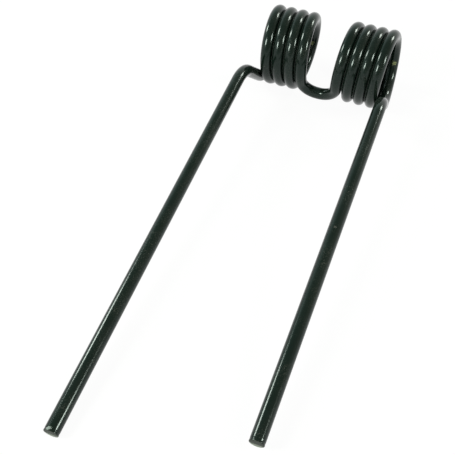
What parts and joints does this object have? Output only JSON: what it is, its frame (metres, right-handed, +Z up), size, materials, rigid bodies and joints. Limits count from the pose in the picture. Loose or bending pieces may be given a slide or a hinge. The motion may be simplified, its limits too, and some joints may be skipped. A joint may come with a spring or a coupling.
{
  "type": "rake tine",
  "caption": "Torsion spring tine bent from round wire: mirrored coils joined by a U-shaped bridge, with long straight legs of unequal length.",
  "frame": {"origin": "on the axis of the coils, midway between them, one coil radius above the ground that the tine lies on", "axes": "+X along the axis of the coils towards the short leg, -Y the way the legs point, +Z up from the ground that the coils and the long leg's tip rest on"},
  "size_m": [0.1196, 0.3952, 0.064],
  "materials": {
    "painted_wire": "gloss black paint over spring steel"
  },
  "bodies": {
    "root": {"spring_tine": "painted_wire"}
  },
  "joints": []
}
